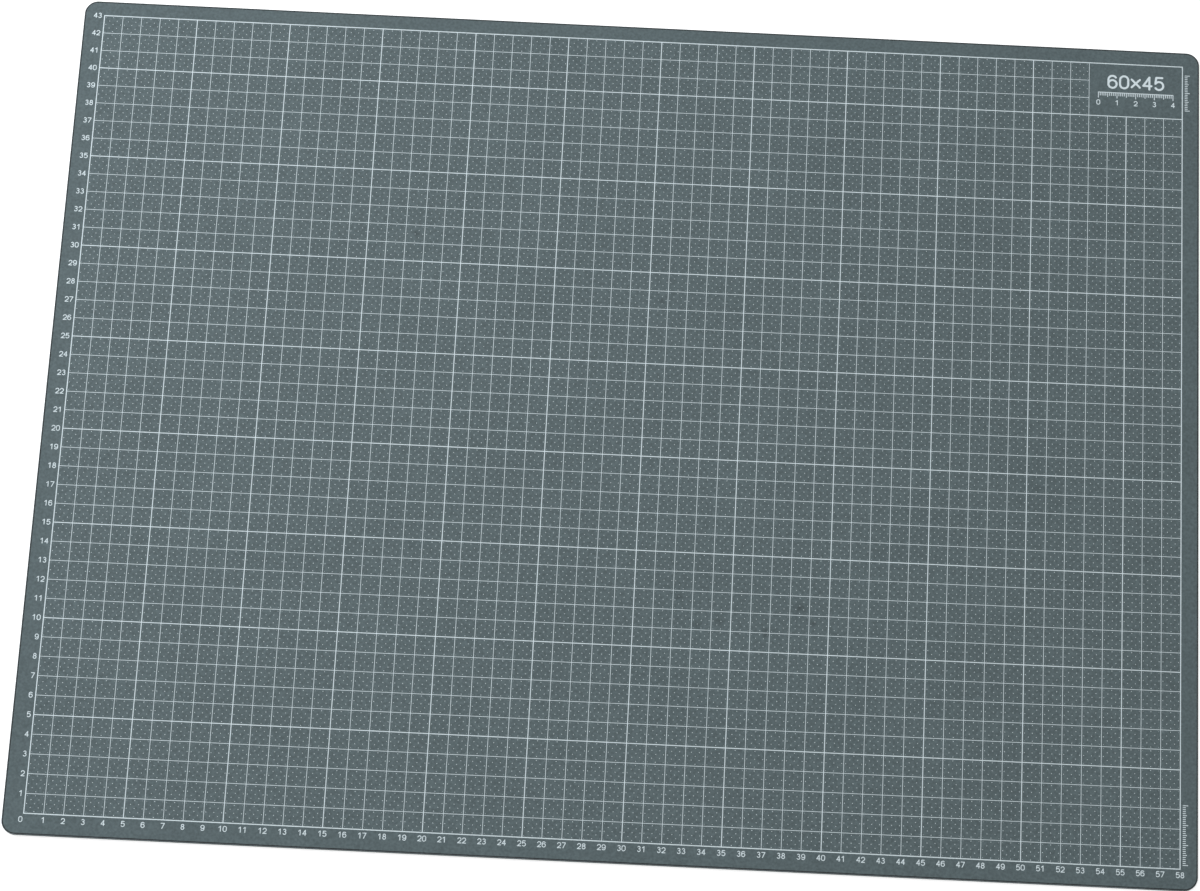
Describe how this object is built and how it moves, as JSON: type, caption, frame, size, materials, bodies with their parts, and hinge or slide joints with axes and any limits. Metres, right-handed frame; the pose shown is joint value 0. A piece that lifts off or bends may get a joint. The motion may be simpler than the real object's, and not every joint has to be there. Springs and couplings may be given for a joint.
{
  "type": "self healing cutting mat",
  "caption": "Flat rounded rectangular cutting mat of pressed vinyl plies, printed with a numbered centimetre grid, a plain title panel and edge scales.",
  "frame": {"origin": "centre of the underside, on the surface that the mat lies on", "axes": "+X along the long side in the direction that the bottom scale counts, +Y along the short side in the direction that the left scale counts, +Z out of the printed cutting surface"},
  "size_m": [0.6, 0.449, 0.003],
  "materials": {
    "skin_vinyl": "matte, finely grained grey green PVC",
    "healing_vinyl": "matte soft PVC, seen only at the cut edge",
    "core_vinyl": "matte hard PVC, seen only at the cut edge",
    "pale_ink": "thin matte screen-printed ink, pale blue grey"
  },
  "bodies": {
    "root": {"bottom_skin": "skin_vinyl", "lower_healing_layer": "healing_vinyl", "rigid_core": "core_vinyl", "upper_healing_layer": "healing_vinyl", "top_skin": "skin_vinyl", "scale_border": "pale_ink", "five_centimetre_lines": "pale_ink", "centimetre_lines": "pale_ink", "bottom_numerals": "pale_ink", "left_numerals": "pale_ink", "panel_rule": "pale_ink", "panel_numerals": "pale_ink", "margin_strips": "pale_ink"}
  },
  "joints": []
}
